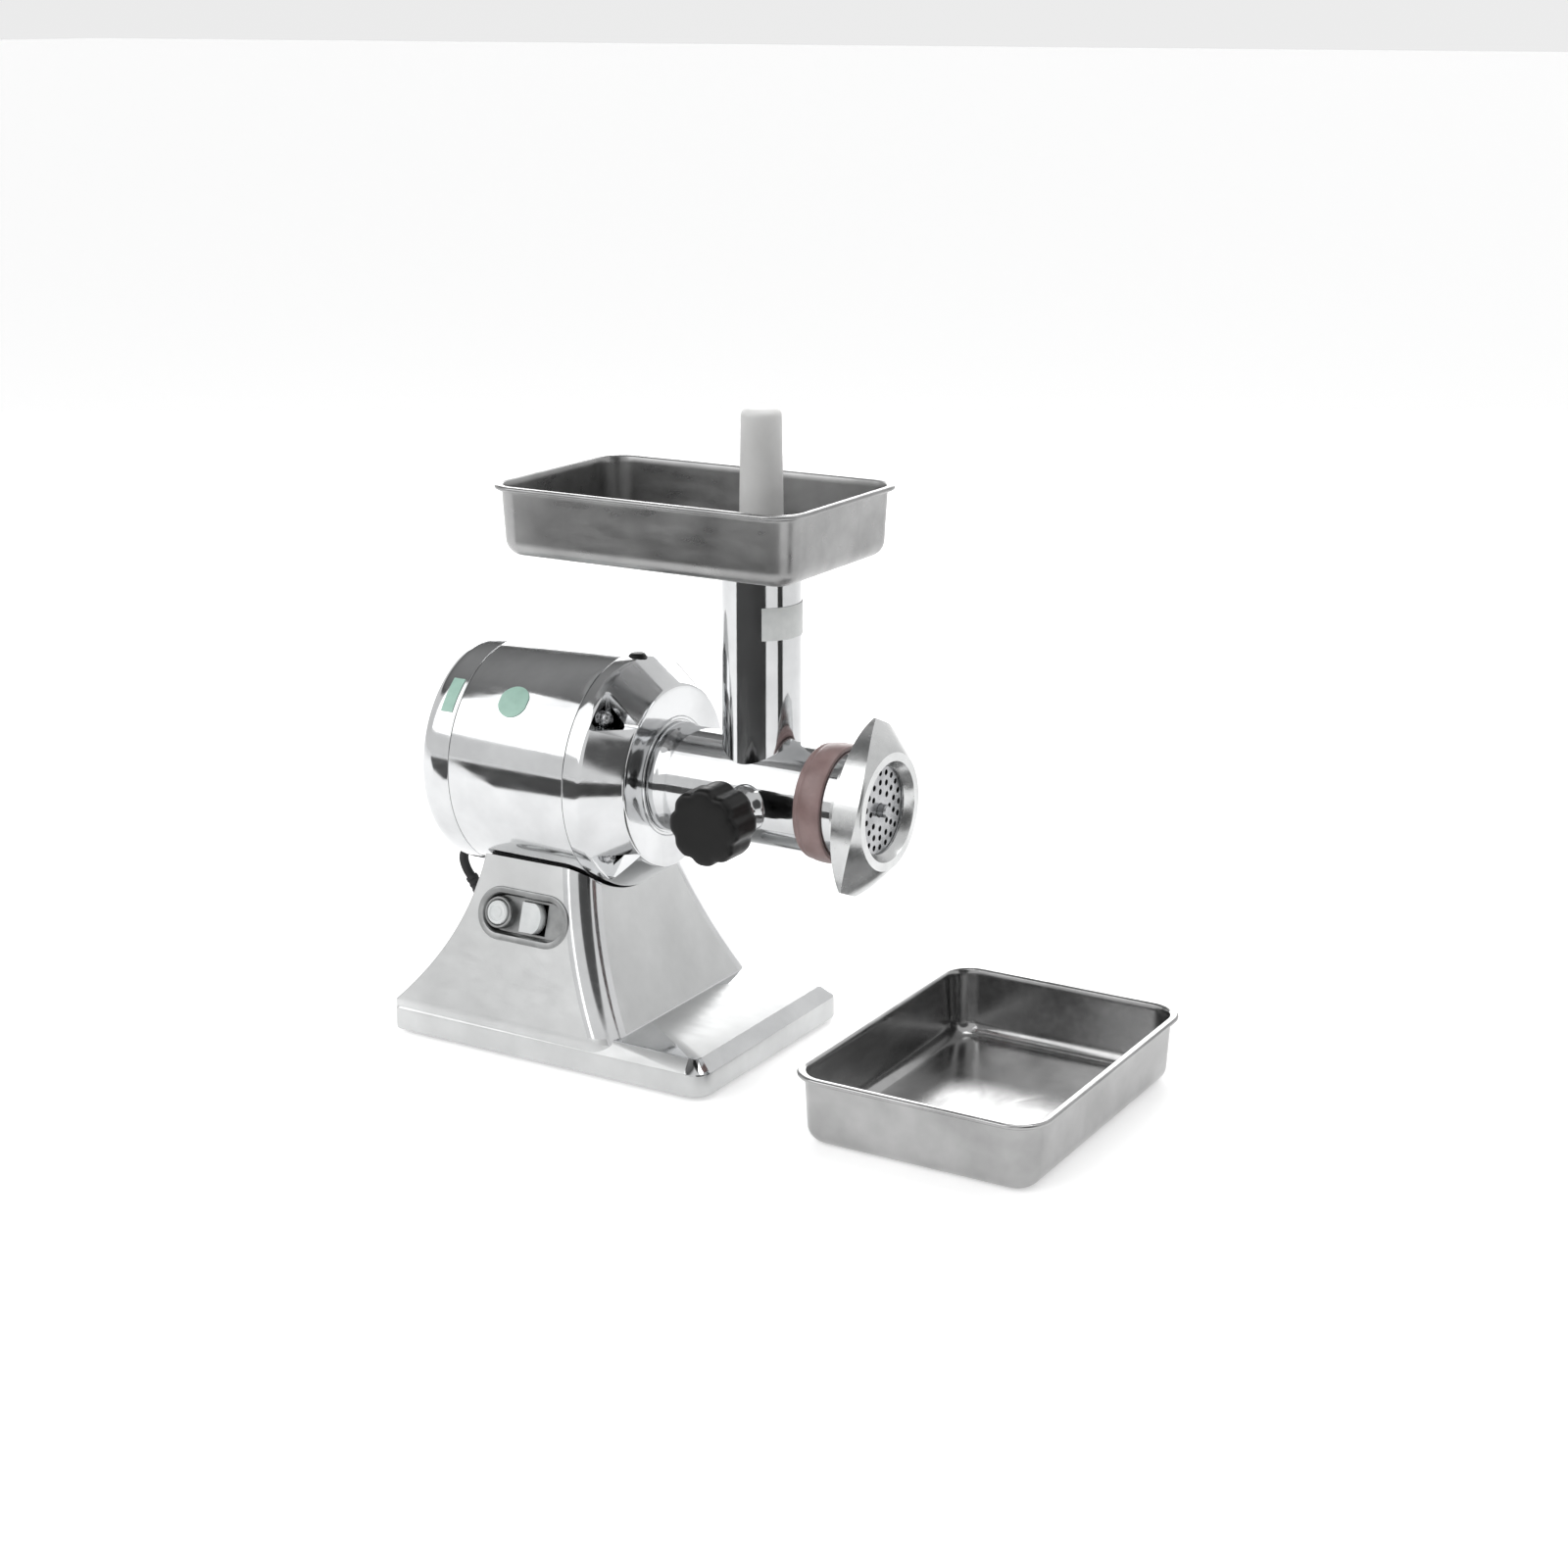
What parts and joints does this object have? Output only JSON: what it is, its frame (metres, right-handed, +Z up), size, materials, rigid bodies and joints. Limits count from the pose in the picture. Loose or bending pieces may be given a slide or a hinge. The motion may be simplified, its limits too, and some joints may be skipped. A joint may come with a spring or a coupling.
{
  "type": "electric meat grinder",
  "caption": "Electric meat grinder: round motor on a cast pedestal, grinding head with feed neck, tray and pusher, lugged ring nut, clamp knob and separate catch pan.",
  "frame": {"origin": "centre of the box of the machine and its pan, on the surface they stand on", "axes": "+X along the auger towards the outlet, +Y to the machine's left seen from behind, +Z up"},
  "size_m": [0.6035, 0.3464, 0.473],
  "materials": {
    "satin_aluminium": "satin",
    "polished_aluminium": "mirror polished",
    "steel": "ground",
    "stainless": "satin outside, polished inside",
    "phenolic": "moulded",
    "rubber": "matte",
    "mauve_silicone": "satin",
    "milky_plastic": "satin",
    "pale_plastic": "satin",
    "copper": "enamelled",
    "brass": "plain"
  },
  "bodies": {
    "machine": {"base_casting": "satin_aluminium", "switch_bezel": "satin_aluminium", "bearing_plate": "satin_aluminium", "motor_shell": "polished_aluminium", "motor_rear_cap": "polished_aluminium", "gearbox_housing": "polished_aluminium", "head_casting": "polished_aluminium", "base_cover": "steel", "capacitor": "steel", "stator_core": "steel", "rear_bearing": "steel", "front_bearing": "steel", "output_bearing": "steel", "housing_screw_1": "steel", "housing_screw_2": "steel", "housing_screw_3": "steel", "housing_screw_4": "steel", "locating_key": "steel", "switch_body": "phenolic", "vent_plug": "phenolic", "foot_front_near": "rubber", "foot_front_far": "rubber", "foot_rear_near": "rubber", "foot_rear_far": "rubber", "saddle_gasket": "rubber", "cable_gland": "rubber", "strain_relief": "rubber", "power_cord": "rubber", "power_cord_coil": "rubber", "power_cord_tail": "rubber", "plug_body": "rubber", "shaft_seal": "rubber", "guard_ring": "mauve_silicone", "terminal_block": "milky_plastic", "neck_label": "pale_plastic", "shell_label": "pale_plastic", "winding_front": "copper", "winding_rear": "copper", "thrust_washer": "brass", "plug_pin_1": "brass", "plug_pin_2": "brass"},
    "rotor": {"rotor_core": "steel", "rotor_shaft": "steel", "cooling_fan": "pale_plastic", "rotor_pinion": "steel"},
    "layshaft_set": {"layshaft": "steel", "layshaft_gear": "steel"},
    "auger_set": {"auger": "steel", "output_shaft": "steel", "output_gear": "steel", "cutting_knife": "steel"},
    "plate_set": {"perforated_plate": "steel"},
    "nut": {"ring_nut": "polished_aluminium"},
    "knob": {"clamp_knob": "phenolic", "clamp_stud": "steel"},
    "button": {"start_button": "pale_plastic"},
    "rocker": {"stop_rocker": "pale_plastic"},
    "tray": {"feed_tray": "stainless"},
    "pusher_stick": {"pusher": "milky_plastic"},
    "pan": {"catch_pan": "stainless"}
  },
  "joints": [
    {"name": "auger_spin", "type": "hinge", "parent": "machine", "child": "auger_set", "pos_m": [0, 0, 0.2023], "axis": [1, 0, 0], "continuous": true},
    {"name": "layshaft_spin", "type": "hinge", "parent": "machine", "child": "layshaft_set", "pos_m": [0, 0, 0.1648], "axis": [1, 0, 0], "continuous": true},
    {"name": "rotor_spin", "type": "hinge", "parent": "machine", "child": "rotor", "pos_m": [0, 0, 0.2023], "axis": [1, 0, 0], "continuous": true},
    {"name": "plate_advance", "type": "slide", "parent": "machine", "child": "plate_set", "axis": [1, 0, 0], "range_m": [0, 0.012]},
    {"name": "nut_turn", "type": "hinge", "parent": "plate_set", "child": "nut", "pos_m": [0.0775, 0, 0.2023], "axis": [1, 0, 0], "range_deg": [0, 1080]},
    {"name": "knob_turn", "type": "hinge", "parent": "machine", "child": "knob", "pos_m": [0.00025, -0.078, 0.2005], "axis": [0, 1, 0], "range_deg": [0, 720]},
    {"name": "start_press", "type": "slide", "parent": "machine", "child": "button", "axis": [0, 0.9526, -0.3042], "range_m": [0, 0.0025], "stiffness_N_per_m": 400},
    {"name": "stop_tilt", "type": "hinge", "parent": "machine", "child": "rocker", "pos_m": [-0.16175, -0.06896, 0.09978], "axis": [0, 0.3042, 0.9526], "range_deg": [-10, 10]},
    {"name": "tray_lift", "type": "slide", "parent": "machine", "child": "tray", "axis": [0, 0, 1], "range_m": [0, 0.15]},
    {"name": "pusher_lift", "type": "slide", "parent": "machine", "child": "pusher_stick", "axis": [0, 0, 1], "range_m": [0, 0.24]},
    {"name": "pan_slide", "type": "slide", "parent": "machine", "child": "pan", "axis": [-1, 0, 0], "range_m": [0, 0.075]}
  ],
  "couplings": [
    {"joint": "layshaft_spin", "follows": "auger_spin", "ratio": -2.5714},
    {"joint": "rotor_spin", "follows": "auger_spin", "ratio": 6.6122},
    {"joint": "plate_advance", "follows": "nut_turn", "m_per_rad": 0.00063662}
  ]
}
